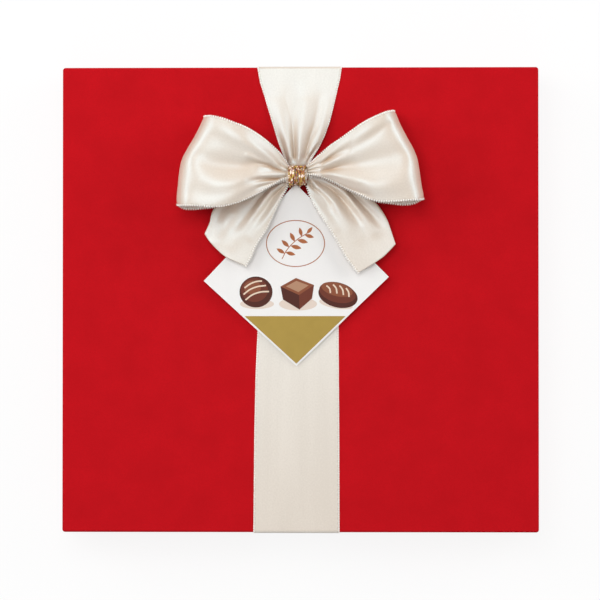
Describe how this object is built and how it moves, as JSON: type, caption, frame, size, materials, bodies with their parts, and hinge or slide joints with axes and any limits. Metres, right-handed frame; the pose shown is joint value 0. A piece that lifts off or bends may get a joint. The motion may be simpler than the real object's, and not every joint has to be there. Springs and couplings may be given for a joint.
{
  "type": "chocolate box",
  "caption": "Flat square rigid box with a lift-off lid, tied with a satin ribbon and bow, a hanging card tag, and a tray of chocolates inside.",
  "frame": {"origin": "centre of the underside of the closed box, which lies on its base with its lid's face up", "axes": "+Z up through the lid's face, +X along the long side (210 mm), +Y away from the bow's tails, so the picture looks along -Z with +Y up"},
  "size_m": [0.21, 0.2056, 0.0507],
  "materials": {
    "greyboard": "matte",
    "red_wrap_paper": "matte",
    "liner_paper": "matte",
    "stay_tape": "matte",
    "tray_film": "gloss",
    "dark_chocolate": "satin",
    "milk_chocolate": "satin",
    "cream_filling": "satin",
    "cushion_paper": "matte",
    "satin_ribbon": "satin",
    "gold_cord": "gloss",
    "tag_card_stock": "satin",
    "gold_foil": "satin",
    "foam_and_glue": "matte"
  },
  "bodies": {
    "base": {"base_board": "greyboard", "base_corner_stays": "stay_tape", "base_wrap": "red_wrap_paper", "base_liner": "liner_paper", "tray": "tray_film", "praline_oval": "milk_chocolate", "praline_cup": "milk_chocolate", "praline_cream": "cream_filling", "praline_square": "dark_chocolate", "cushion_pad": "cushion_paper"},
    "lid": {"lid_board": "greyboard", "lid_corner_stays": "stay_tape", "lid_wrap": "red_wrap_paper", "lid_liner": "liner_paper", "ribbon_band": "satin_ribbon", "bow_waist": "satin_ribbon", "bow_pad": "foam_and_glue", "bow_tie": "gold_cord", "bow_loop_left": "satin_ribbon", "bow_loop_right": "satin_ribbon", "bow_tail_left": "satin_ribbon", "bow_tail_right": "satin_ribbon"},
    "tag": {"tag_card": "tag_card_stock", "tag_foil": "gold_foil", "tag_cord": "gold_cord", "tag_glue_dot": "foam_and_glue"}
  },
  "joints": [
    {"name": "lid_lift", "type": "slide", "parent": "base", "child": "lid", "axis": [0, 0, 1], "range_m": [0, 0.06]},
    {"name": "tag_swing", "type": "hinge", "parent": "lid", "child": "tag", "pos_m": [-0.00192, 0.0518, 0.03265], "axis": [0.0011, -0.0486, 0.9988], "range_deg": [-8, 8]}
  ]
}
